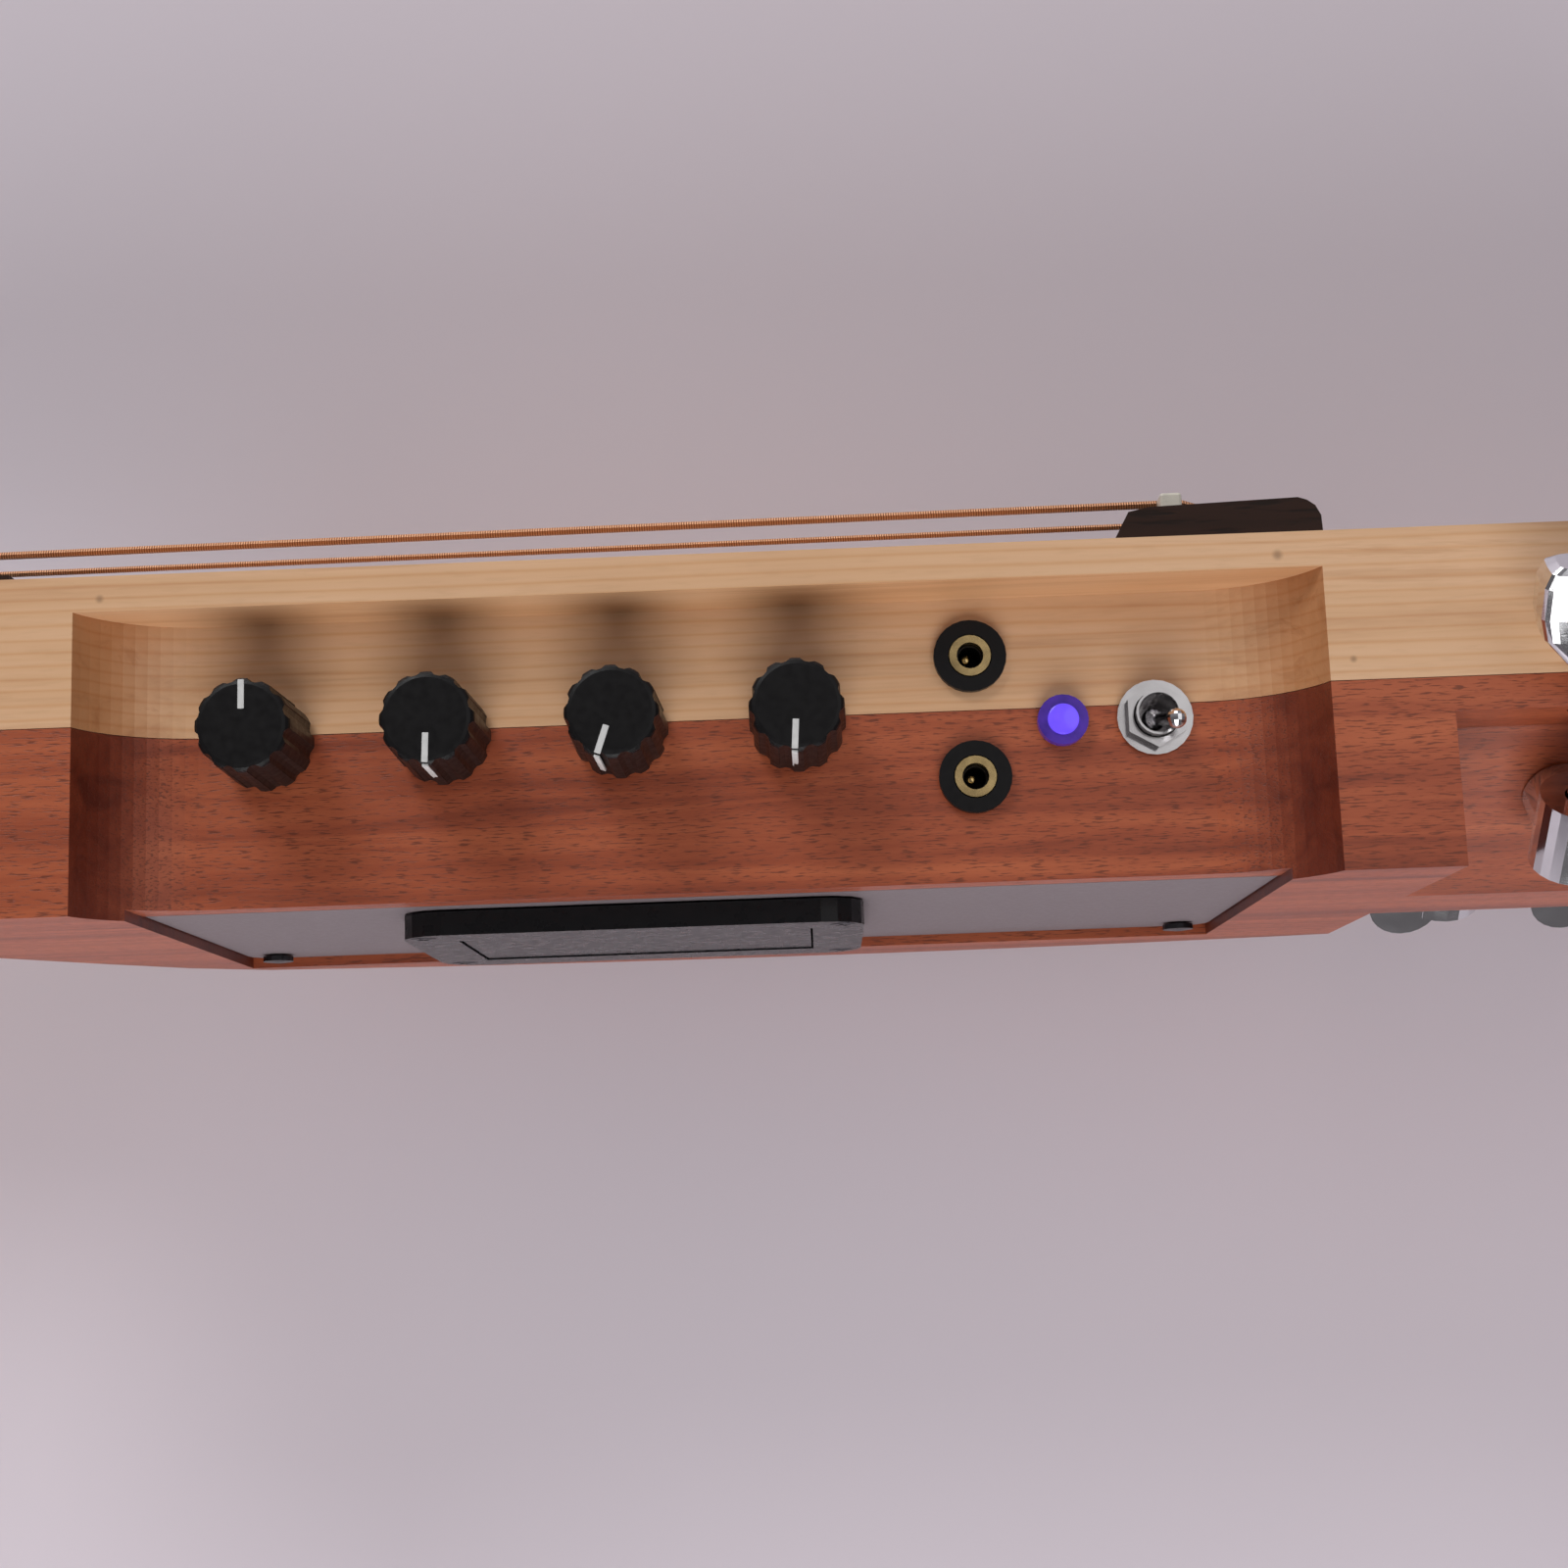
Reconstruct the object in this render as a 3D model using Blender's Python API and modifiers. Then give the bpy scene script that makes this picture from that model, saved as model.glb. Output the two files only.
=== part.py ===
"""A headless electric guitar with a neck-through maple top on a mahogany block.

It lies on its back: +Z is the normal of the top, +X runs from the neck to the tail,
and the bass side is at -Y. The origin is under the middle of the whole instrument.
"""

import math

import bmesh
import bpy
from mathutils import Matrix, Vector

# Strings
SCALE = 0.648
FRET_COUNT = 24
STRING_RADII = (0.00055, 0.00044, 0.00035, 0.00026, 0.0002, 0.00016)
SADDLE_SPREAD = 0.052
NUT_SPREAD = 0.035
STRING_CLEAR = 0.0003
NUT_ACTION = 0.0005
WINDING_TURNS = 2
WINDING_GAP = 0.0006

# Wooden body
TAIL_LENGTH = 0.122
STRAP_LENGTH = 0.010
BASS_HALF = 0.044
TREBLE_HALF = 0.047
TREBLE_TAIL_HALF = 0.041
BLOCK_THICKNESS = 0.0248
TOP_THICKNESS = 0.0202
GLUE_LINE = 0.0001
SEAT_GAP = 0.0003
TREBLE_APEX = -0.043
BASS_HORN = -0.198
TREBLE_HORN = -0.145
TAIL_CORNER = 0.006

# Neck
NECK_THICKNESS = 0.0152
NUT_WIDTH = 0.042
BODY_JOINT_WIDTH = 0.0565
HEEL_START = -0.222
HEEL_END = -0.176
HEAD_LENGTH = 0.030
BOARD_THICKNESS = 0.0048
BOARD_OVERHANG = 0.004
FRET_RADIUS = 0.0012
FRET_HEIGHT = 0.001
NUT_LENGTH = 0.004
ANCHOR_LENGTH = 0.020
ANCHOR_HEIGHT = 0.0110
ROD_RADIUS = 0.003

# Bridge
BRIDGE_FRONT = -0.0066
BRIDGE_LENGTH = 0.0294
BRIDGE_HALF = 0.035
BRIDGE_HEIGHT = 0.0072
SADDLE_THICKNESS = 0.003
SADDLE_HALF = 0.030
SADDLE_DEPTH = 0.0040
SADDLE_TOP = 0.0100
STRING_SEAT = 0.0086
COMPENSATION = 0.0033
PIEZO_HEIGHT = 0.0006
STRING_HOLE = 0.0013

# Control bay in the bass side
BAY_START = -0.144
BAY_END = 0.0202
BAY_DEPTH = 0.011
BAY_TOP = 0.0402
BAY_END_RADIUS = 0.0165
BAY_WALL = 0.005
CONTROL_HEIGHT = 0.0228
KNOB_AXIS_HEIGHT = 0.0235
KNOB_FIRST = -0.1206
KNOB_PITCH = 0.0238
KNOB_COUNT = 4
KNOB_RADIUS = 0.0065
KNOB_HEIGHT = 0.0154
FLUTE_COUNT = 12
FLUTE_RADIUS = 0.0013
FLUTE_DEPTH = 0.0006
SHAFT_RADIUS = 0.003
SHAFT_CLEAR = 0.0004
JACK_X = -0.0257
JACK_HEIGHTS = (0.0156, 0.0321)
JACK_WASHER = 0.0049
JACK_BUSHING = 0.0028
JACK_BORE = 0.0018
LED_X = -0.0137
LED_RADIUS = 0.0034
LED_STEM = 0.0024
SWITCH_X = -0.0013
SWITCH_BUSHING = 0.003
SWITCH_LEAN = 16.0
SWITCH_SIDE = (0.787, 0.0, -0.617)
LEVER_LENGTH = 0.0085
NUT_FLATS = 0.0076

# Back plate and battery box
PLATE_START = -0.1385
PLATE_NEAR = 0.0158
PLATE_END = 0.0147
PLATE_FAR = 0.078
PLATE_THICKNESS = 0.0012
PLATE_RECESS = 0.0015
PLATE_CORNER = 0.004
CAVITY_RIM = 0.010
CAVITY_TOP = 0.0380
BOX_MIDDLE = -0.073
BOX_LENGTH = 0.064
BOX_WIDTH = 0.045
BOX_CENTRE_Y = -0.002
BOX_PROUD = 0.0021
TRAY_LENGTH = 0.056
TRAY_WIDTH = 0.033
TRAY_DEPTH = 0.0235
TRAY_WALL = 0.0012
DOOR_LENGTH = 0.049
DOOR_WIDTH = 0.0285
DOOR_THICKNESS = 0.0016
BATTERY = (0.046, 0.0262, 0.0172)
BOARD_LENGTH = 0.118
PCB_THICKNESS = 0.0016

# Tail slot, pockets and tuners
POCKET_START = 0.036
POCKET_DEPTH = 0.0128
POCKET_CEILING = 0.0203
SLOT_HALF = 0.0165
SLOT_FLOOR = 0.0195
SLOT_WALL = 0.004
TUNER_BASS = 0.0615
TUNER_TREBLE = 0.0515
TUNER_PITCH = 0.0253
WORM_OFFSET = 0.0066
WORM_HEIGHT = 0.0085
BARREL_RADIUS = 0.0055
BARREL_LENGTH = 0.011
CASE_RADIUS = 0.0066
GEAR_RADIUS = 0.0042
GEAR_LENGTH = 0.0026
WORM_RADIUS = 0.002
POST_RADIUS = 0.003
POST_REACH = 0.0240
BUTTON_GAP = 0.0185
BUTTON_LENGTH = 0.0178
BUTTON_WIDTH = 0.0215
NOTCH_RADIUS = 0.0040
POST_FOOT_Y = 0.0232
SLOT_SPREAD = 0.025
SLOT_HOLE_HEIGHTS = (0.0320, 0.0350, 0.0380)
BRIDGE_HOLE_X = 0.0115
BUTTON_THICKNESS = 0.006
BUTTON_SQUARENESS = 0.3
BUTTON_FAN = ((0, 0.26, 0.62), (0.10, 0.40, 0.85), (0.25, 0.63, 1.0), (0.42, 0.89, 1.0), (0.6, 0.98, 1.0),
              (0.85, 1.0, 1.0), (0.96, 0.94, 0.9), (1.0, 0.84, 0.66))

BACK_Z = BOX_PROUD
GLUE_Z = BACK_Z + BLOCK_THICKNESS
TOP_Z = BACK_Z + BLOCK_THICKNESS + TOP_THICKNESS
SADDLE_X = (SCALE + HEAD_LENGTH - TAIL_LENGTH - SEAT_GAP - STRAP_LENGTH) / 2
BAY_FLOOR_Y = BAY_DEPTH - BASS_HALF
WALL_Y = BAY_FLOOR_Y + BAY_WALL
PLATE_NEAR_Y = PLATE_NEAR - BASS_HALF
PLATE_FAR_Y = PLATE_FAR - BASS_HALF
POCKET_Y = BASS_HALF - POCKET_DEPTH
FACE_SUM = POCKET_CEILING - POCKET_Y
BOARD_TOP = TOP_Z + GLUE_LINE + BOARD_THICKNESS


def start_scene():
    for old in list(bpy.data.objects):
        bpy.data.objects.remove(old, do_unlink=True)
    parts = bpy.data.collections.new("headless_electric_guitar")
    cutters = bpy.data.collections.new("cutters")
    bpy.context.scene.collection.children.link(parts)
    bpy.context.scene.collection.children.link(cutters)
    cutters.hide_render = True
    return parts, cutters


PARTS, CUTTERS = start_scene()


def material(name, colour, roughness=0.5, metallic=0.0):
    made = bpy.data.materials.new(name)
    made.use_nodes = True
    shader = made.node_tree.nodes["Principled BSDF"]
    shader.inputs["Base Color"].default_value = (*colour, 1.0)
    shader.inputs["Roughness"].default_value = roughness
    shader.inputs["Metallic"].default_value = metallic
    return made


MAPLE = material("maple", (0.72, 0.52, 0.33), 0.5)
MAHOGANY = material("mahogany", (0.36, 0.12, 0.06), 0.5)
ROSEWOOD = material("rosewood", (0.035, 0.018, 0.012), 0.45)
BONE = material("bone", (0.85, 0.82, 0.74), 0.4)
CHROME = material("chrome", (0.75, 0.75, 0.76), 0.12, 1.0)
STEEL = material("steel", (0.5, 0.5, 0.51), 0.3, 1.0)
BRASS = material("brass", (0.72, 0.52, 0.22), 0.3, 1.0)
BRONZE = material("bronze", (0.55, 0.28, 0.16), 0.35, 1.0)
BLACK = material("black_plastic", (0.01, 0.01, 0.011), 0.4)
GREY_PLATE = material("grey_plate", (0.27, 0.27, 0.3), 0.45)
GREEN_BOARD = material("circuit_board", (0.02, 0.12, 0.05), 0.5)
BATTERY_SKIN = material("battery_skin", (0.05, 0.05, 0.06), 0.4)
LENS = material("lens", (0.15, 0.05, 0.8), 0.2)


def along(rel):
    return SADDLE_X + rel


def place(obj, skin, cutter=False):
    for holder in list(obj.users_collection):
        holder.objects.unlink(obj)
    (CUTTERS if cutter else PARTS).objects.link(obj)
    if cutter:
        obj.hide_render = True
        obj.display_type = "WIRE"
    if skin is not None:
        obj.data.materials.clear()
        obj.data.materials.append(skin)
    return obj


def from_bmesh(name, bm, skin, cutter=False):
    bmesh.ops.recalc_face_normals(bm, faces=bm.faces)
    mesh = bpy.data.meshes.new(name)
    bm.to_mesh(mesh)
    bm.free()
    return place(bpy.data.objects.new(name, mesh), skin, cutter)


def box(name, low, high, skin=None, cutter=False):
    bm = bmesh.new()
    bmesh.ops.create_cube(bm, size=1.0)
    for v in bm.verts:
        for k in range(3):
            v.co[k] = low[k] if v.co[k] < 0 else high[k]
    return from_bmesh(name, bm, skin, cutter)


def rod(name, start, end, radius, skin=None, cutter=False, segments=20, end_radius=None):
    """A round bar or cone between two points."""
    start, end = Vector(start), Vector(end)
    bm = bmesh.new()
    bmesh.ops.create_cone(bm, cap_ends=True, segments=segments, radius1=radius,
                          radius2=radius if end_radius is None else end_radius,
                          depth=(end - start).length)
    turn = Vector((0, 0, 1)).rotation_difference(end - start).to_matrix().to_4x4()
    bmesh.ops.transform(bm, matrix=Matrix.Translation((start + end) / 2) @ turn, verts=bm.verts)
    obj = from_bmesh(name, bm, skin, cutter)
    obj.data.shade_smooth()
    obj.data.set_sharp_from_angle(angle=math.radians(35))
    return obj


def plank(name, outline, low, high, skin=None, cutter=False):
    """A flat outline with a thickness, as a mesh."""
    curve = bpy.data.curves.new(name, "CURVE")
    curve.dimensions = "2D"
    curve.fill_mode = "BOTH"
    curve.extrude = (high - low) / 2
    line = curve.splines.new("POLY")
    line.points.add(len(outline) - 1)
    for point, (x, y) in zip(line.points, outline):
        point.co = (x, y, 0, 1)
    line.use_cyclic_u = True
    holder = bpy.data.objects.new(name + "_outline", curve)
    CUTTERS.objects.link(holder)
    holder.location.z = (low + high) / 2
    bpy.context.view_layer.update()
    graph = bpy.context.evaluated_depsgraph_get()
    mesh = bpy.data.meshes.new_from_object(holder.evaluated_get(graph))
    mesh.transform(holder.matrix_world)
    bpy.data.objects.remove(holder)
    bm = bmesh.new()
    bm.from_mesh(mesh)
    bpy.data.meshes.remove(mesh)
    bmesh.ops.remove_doubles(bm, verts=bm.verts, dist=1e-6)
    return from_bmesh(name, bm, skin, cutter)


def loft(name, rings, skin, cutter=False):
    """A closed skin through rings of equally many points."""
    bm = bmesh.new()
    rows = [[bm.verts.new(p) for p in ring] for ring in rings]
    count = len(rings[0])
    for a, b in zip(rows, rows[1:]):
        for i in range(count):
            j = (i + 1) % count
            bm.faces.new((a[i], a[j], b[j], b[i]))
    bm.faces.new(rows[0][::-1])
    bm.faces.new(rows[-1])
    return from_bmesh(name, bm, skin, cutter)


def turned(name, profile, centre, axis, skin, steps=24):
    """A profile of (radius, distance along the axis) turned round the axis."""
    mesh = bpy.data.meshes.new(name)
    mesh.from_pydata([(r, 0, z) for r, z in profile], [(i, i + 1) for i in range(len(profile) - 1)], [])
    obj = place(bpy.data.objects.new(name, mesh), skin)
    screw = obj.modifiers.new("turn", "SCREW")
    screw.steps = steps
    screw.render_steps = steps
    screw.use_merge_vertices = True
    screw.merge_threshold = 1e-5
    screw.use_smooth_shade = True
    obj.rotation_mode = "QUATERNION"
    obj.rotation_quaternion = Vector((0, 0, 1)).rotation_difference(Vector(axis))
    obj.location = centre
    return obj


def boolean(obj, other, operation="DIFFERENCE"):
    step = obj.modifiers.new(operation.lower(), "BOOLEAN")
    step.operation = operation
    step.object = other
    step.solver = "EXACT"


def fuse(obj, *others):
    for other in others:
        boolean(obj, other, "UNION")


def cut(obj, *others):
    for other in others:
        boolean(obj, other)


def bevel(obj, width, segments=2, angle=50):
    step = obj.modifiers.new("edges", "BEVEL")
    step.width = width
    step.segments = segments
    step.limit_method = "ANGLE"
    step.angle_limit = math.radians(angle)


def arc(cx, cy, radius, start, end, count):
    return [(cx + radius * math.cos(math.radians(start + (end - start) * i / count)),
             cy + radius * math.sin(math.radians(start + (end - start) * i / count)))
            for i in range(count + 1)]


def body_outline():
    """Seen from above: straight bass side, bowed treble side, slanted neck end."""
    tail = along(TAIL_LENGTH)
    span = POCKET_START - TREBLE_APEX
    drop = TREBLE_HALF - TREBLE_TAIL_HALF
    bow = (span ** 2 + drop ** 2) / (2 * drop)
    points = arc(tail - TAIL_CORNER, -BASS_HALF + TAIL_CORNER, TAIL_CORNER, -90, 0, 4)
    points += arc(tail - TAIL_CORNER, TREBLE_TAIL_HALF - TAIL_CORNER, TAIL_CORNER, 0, 90, 4)
    reach = math.degrees(math.asin(span / bow))
    points += arc(along(TREBLE_APEX), TREBLE_HALF - bow, bow, 90 - reach, 90 + reach * 0.85, 14)
    points += [(along(TREBLE_HORN + 0.008), 0.0382), (along(TREBLE_HORN - 0.003), 0.0305)]
    points += [(along(TREBLE_HORN - 0.0135), 0.0185)]
    points += arc(along(BASS_HORN + 0.0145), -BASS_HALF + 0.012, 0.012, 150, 270, 6)
    return points


def neck_half_width(rel):
    """The half width of neck and fretboard at a distance from the saddle."""
    share = (rel + SCALE) / (SCALE - SCALE / 4)
    return (NUT_WIDTH + (BODY_JOINT_WIDTH - NUT_WIDTH) * share) / 2


def neck_ring(rel, depth, squareness):
    """One section of the neck: flat on top, rounded below."""
    half = neck_half_width(max(rel, -SCALE)) - 0.0003
    ring = []
    for i in range(13):
        angle = math.pi * i / 12
        c, s = math.cos(angle), math.sin(angle)
        y = -half * math.copysign(abs(c) ** (2 / squareness), c)
        z = TOP_Z - 0.0012 - (depth - 0.0012) * abs(s) ** (2 / squareness)
        ring.append((along(rel), y, z))
    return [(along(rel), -half, TOP_Z), *ring, (along(rel), half, TOP_Z)]


def floor_rod(name, rel, height, radius, start, end, skin=None, cutter=False, segments=20):
    """A round bar square to the floor of the bay, between two depths."""
    return rod(name, (along(rel), start, BACK_Z + height), (along(rel), end, BACK_Z + height),
               radius, skin, cutter, segments)


def tuner_place(index):
    """Side sign, x of the post and the point of the slanted face under it."""
    side = -1 if index < 3 else 1
    row = index % 3
    first = TUNER_BASS if side < 0 else TUNER_TREBLE
    return side, along(first + row * TUNER_PITCH)


def tuner_frame(index):
    """Axes of a tuner: out of the face, towards the button, and its foot on the face."""
    side, x = tuner_place(index)
    out = Vector((0, side, -1)).normalized()
    up = Vector((0, side, 1)).normalized()
    foot = Vector((x, side * POST_FOOT_Y, BACK_Z + FACE_SUM + POST_FOOT_Y))
    return side, foot, out, up


def wooden_cutters():
    cutters = {}
    low = BACK_Z - 0.01
    ends = BAY_END_RADIUS
    start, end = along(BAY_START), along(BAY_END)
    floor, edge = BAY_FLOOR_Y, -BASS_HALF - 0.01
    reach = math.degrees(math.acos(1 - BAY_DEPTH / ends))
    inset = ends * math.sin(math.radians(reach))
    left = arc(start + inset, floor - ends, ends, 90 + reach, 90, 12)
    right = arc(end - inset, floor - ends, ends, 90, 90 - reach, 12)
    outline = [(start, edge), (end, edge)] + right[::-1] + left[::-1]
    cutters["bay"] = plank("bay_cutter", outline, low, BACK_Z + BAY_TOP, None, True)
    cutters["cavity"] = box("cavity_cutter",
                            (along(PLATE_START) + CAVITY_RIM, WALL_Y, low),
                            (along(PLATE_END) - CAVITY_RIM, PLATE_FAR_Y - CAVITY_RIM, BACK_Z + CAVITY_TOP),
                            None, True)
    cutters["rabbet"] = box("rabbet_cutter",
                            (along(PLATE_START) - SEAT_GAP, PLATE_NEAR_Y - SEAT_GAP, low),
                            (along(PLATE_END) + SEAT_GAP, PLATE_FAR_Y + SEAT_GAP,
                             BACK_Z + PLATE_RECESS + PLATE_THICKNESS), None, True)
    cutters["lip"] = box("lip_cutter",
                         (along(PLATE_START) - SEAT_GAP, BAY_FLOOR_Y - 0.02, low),
                         (along(PLATE_END) + SEAT_GAP, PLATE_NEAR_Y + 0.002, BACK_Z + PLATE_RECESS), None, True)
    cutters["slot"] = box("slot_cutter", (along(POCKET_START), -SLOT_HALF, BACK_Z + SLOT_FLOOR),
                          (along(TAIL_LENGTH) - SLOT_WALL, SLOT_HALF, TOP_Z + 0.01), None, True)
    for side in (-1, 1):
        section = [(side * 0.07, low), (side * (-FACE_SUM - 0.01), low),
                   (side * POCKET_Y, BACK_Z + POCKET_CEILING), (side * 0.07, BACK_Z + POCKET_CEILING)]
        rings = [[(x, y, z) for y, z in section] for x in (along(POCKET_START), along(TAIL_LENGTH) + 0.01)]
        cutters["pocket%+d" % side] = loft("pocket_cutter%+d" % side, rings, None, True)
    for k in range(KNOB_COUNT):
        cutters["shaft%d" % k] = floor_rod("shaft_cutter_%d" % k, KNOB_FIRST + k * KNOB_PITCH, KNOB_AXIS_HEIGHT,
                                           SHAFT_RADIUS + SHAFT_CLEAR, BAY_FLOOR_Y - 0.002, WALL_Y + 0.002,
                                           None, True)
    for k, height in enumerate(JACK_HEIGHTS):
        cutters["jack%d" % k] = floor_rod("jack_cutter_%d" % k, JACK_X, height, JACK_BUSHING + SEAT_GAP,
                                          BAY_FLOOR_Y - 0.002, WALL_Y + 0.002, None, True)
    cutters["led"] = floor_rod("led_cutter", LED_X, CONTROL_HEIGHT, LED_STEM + SEAT_GAP,
                               BAY_FLOOR_Y - 0.002, WALL_Y + 0.002, None, True)
    cutters["switch"] = floor_rod("switch_cutter", SWITCH_X, CONTROL_HEIGHT, SWITCH_BUSHING + SEAT_GAP,
                                  BAY_FLOOR_Y - 0.002, WALL_Y + 0.002, None, True)
    for k in range(6):
        side, foot, out, up = tuner_frame(k)
        cutters["post%d" % k] = rod("post_cutter_%d" % k, foot + out * 0.002, foot - out * 0.030,
                                    POST_RADIUS + SHAFT_CLEAR, None, True, 16)
    return cutters


def string_y(index, spread):
    return -spread / 2 + spread * index / 5


def string_hole_ends(index):
    """Where a string enters the bridge and leaves the front wall of the slot."""
    y = string_y(index, SADDLE_SPREAD)
    height = SLOT_HOLE_HEIGHTS[min(index, 5 - index)]
    start = Vector((along(BRIDGE_HOLE_X), y, TOP_Z + BRIDGE_HEIGHT + 0.0002))
    return start, Vector((along(POCKET_START), string_y(index, SLOT_SPREAD), BACK_Z + height))


def make_wood():
    cutters = wooden_cutters()
    outline = body_outline()
    block = plank("body_block", outline, BACK_Z, GLUE_Z - GLUE_LINE / 2, MAHOGANY)
    neck = plank("neck_through", outline, GLUE_Z + GLUE_LINE / 2, TOP_Z, MAPLE)
    rings = [neck_ring(-SCALE - HEAD_LENGTH, NECK_THICKNESS - 0.001, 2.6),
             neck_ring(-SCALE - 0.012, NECK_THICKNESS, 2.4),
             neck_ring(-SCALE * 0.75, NECK_THICKNESS, 2.2),
             neck_ring(HEEL_START, NECK_THICKNESS + 0.001, 2.3),
             neck_ring((HEEL_START + HEEL_END) / 2, NECK_THICKNESS + 0.0028, 3.0),
             neck_ring(HEEL_END, TOP_THICKNESS - GLUE_LINE, 5.0),
             neck_ring(HEEL_END + 0.045, TOP_THICKNESS - GLUE_LINE, 6.0)]
    shaft = loft("neck_shaft", rings, MAPLE, True)
    fuse(neck, shaft)
    channel_floor = TOP_Z - 2 * ROD_RADIUS - 0.002
    channel = box("rod_cutter", (along(-SCALE - HEAD_LENGTH) - 0.01, -ROD_RADIUS - SEAT_GAP, channel_floor),
                  (along(HEEL_END) + 0.02, ROD_RADIUS + SEAT_GAP, TOP_Z + 0.01), None, True)
    cut(neck, channel)
    shared = ["bay", "cavity", "slot", "shaft0", "shaft1", "shaft2", "shaft3", "jack0", "jack1", "led", "switch"]
    for name in shared:
        cut(neck, cutters[name])
        cut(block, cutters[name])
    for name in ("rabbet", "lip", "pocket-1", "pocket+1"):
        cut(block, cutters[name])
    for k in range(6):
        cut(block, cutters["post%d" % k])
        cut(neck, cutters["post%d" % k])
        start, end = string_hole_ends(k)
        way = (end - start).normalized()
        hole = rod("string_cutter_%d" % k, start - way * 0.02, end + way * 0.006, STRING_HOLE, None, True, 12)
        cut(neck, hole)
    for k in range(6):
        side, foot, out, up = tuner_frame(k)
        axis = foot + out * WORM_HEIGHT - Vector((WORM_OFFSET, 0, 0))
        notch = rod("notch_cutter_%d" % k, axis + up * 0.006, axis + up * 0.040, NOTCH_RADIUS, None, True, 16)
        cut(block, notch)
        cut(neck, notch)


def make_fretboard():
    start, end = -SCALE, -SCALE / 4 + BOARD_OVERHANG
    outline = []
    for rel, sign in ((start, -1), (end, -1), (end, 1), (start, 1)):
        outline.append((along(rel), sign * neck_half_width(rel)))
    board = plank("fretboard", outline, TOP_Z + GLUE_LINE, BOARD_TOP, ROSEWOOD)
    for n in range(1, FRET_COUNT + 1):
        rel = -SCALE * 2 ** (-n / 12)
        half = neck_half_width(rel) - 0.0006
        z = BOARD_TOP + FRET_HEIGHT - FRET_RADIUS
        fret = rod("fret_%d" % n, (along(rel), -half, z), (along(rel), half, z), FRET_RADIUS, None, True, 8)
        fuse(board, fret)


def make_head():
    start = along(-SCALE) - SEAT_GAP
    box("nut", (start - NUT_LENGTH, -NUT_WIDTH / 2, TOP_Z + GLUE_LINE),
        (start, NUT_WIDTH / 2, BOARD_TOP + FRET_HEIGHT + NUT_ACTION), BONE)
    anchor_end = start - NUT_LENGTH - SEAT_GAP
    anchor = box("head_anchor", (anchor_end - ANCHOR_LENGTH, -NUT_WIDTH / 2, TOP_Z + GLUE_LINE),
                 (anchor_end, NUT_WIDTH / 2, TOP_Z + ANCHOR_HEIGHT), CHROME)
    bevel(anchor, 0.0012, 2)
    z = BOARD_TOP + FRET_HEIGHT + NUT_ACTION + STRING_CLEAR + STRING_RADII[0]
    for k in range(6):
        y = string_y(k, NUT_SPREAD)
        bore = rod("anchor_cutter_%d" % k, (anchor_end - 0.012, y, z), (anchor_end + 0.01, y, z),
                   STRING_RADII[k] + 0.0004, None, True, 10)
        cut(anchor, bore)
    rod("truss_rod", (along(-SCALE) - 0.003, 0, TOP_Z - ROD_RADIUS - 0.001),
        (along(HEEL_END) + 0.015, 0, TOP_Z - ROD_RADIUS - 0.001), ROD_RADIUS - 0.0002, STEEL, False, 12)


def make_bridge():
    front, back = along(BRIDGE_FRONT), along(BRIDGE_FRONT + BRIDGE_LENGTH)
    low, high = TOP_Z + GLUE_LINE, TOP_Z + BRIDGE_HEIGHT
    section = [(front, low), (back, low), (back - 0.0002, high - 0.0026), (back - 0.0009, high - 0.0012),
               (back - 0.0020, high - 0.0004), (back - 0.0032, high), (front + 0.0060, high - 0.0006),
               (front + 0.0032, high - 0.0012)]
    rings = [[(x, y, z) for x, z in section] for y in (-BRIDGE_HALF, BRIDGE_HALF)]
    bridge = loft("bridge", rings, ROSEWOOD)
    middle = along(COMPENSATION)
    seat = TOP_Z + BRIDGE_HEIGHT - SADDLE_DEPTH
    room, reach = SADDLE_THICKNESS / 2 + GLUE_LINE, SADDLE_HALF + GLUE_LINE
    cut(bridge, box("saddle_cutter", (middle - room, -reach, seat), (middle + room, reach, high + 0.01), None, True))
    for k in range(6):
        start, end = string_hole_ends(k)
        way = (end - start).normalized()
        hole = rod("bridge_hole_%d" % k, start - way * 0.006, start + way * 0.02, STRING_HOLE, None, True, 12)
        cut(bridge, hole)
    box("piezo_strip", (middle - SADDLE_THICKNESS / 2, -SADDLE_HALF, seat + GLUE_LINE),
        (middle + SADDLE_THICKNESS / 2, SADDLE_HALF, seat + GLUE_LINE + PIEZO_HEIGHT), STEEL)
    saddle = box("saddle", (middle - SADDLE_THICKNESS / 2, -SADDLE_HALF, seat + PIEZO_HEIGHT + 2 * GLUE_LINE),
                 (middle + SADDLE_THICKNESS / 2, SADDLE_HALF, TOP_Z + SADDLE_TOP), BONE)
    bevel(saddle, 0.0004, 2)
    for k in range(6):
        y, half = string_y(k, SADDLE_SPREAD), STRING_RADII[k] + STRING_CLEAR
        cut(saddle, box("saddle_notch_%d" % k, (middle - 0.01, y - half, TOP_Z + STRING_SEAT),
                        (middle + 0.01, y + half, TOP_Z + SADDLE_TOP + 0.01), None, True))


def tube(name, points, radius, skin):
    curve = bpy.data.curves.new(name, "CURVE")
    curve.dimensions = "3D"
    curve.bevel_depth = radius
    curve.bevel_resolution = 1
    curve.use_fill_caps = True
    line = curve.splines.new("POLY")
    line.points.add(len(points) - 1)
    for point, at in zip(line.points, points):
        point.co = (*at, 1)
    return place(bpy.data.objects.new(name, curve), skin)


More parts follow.
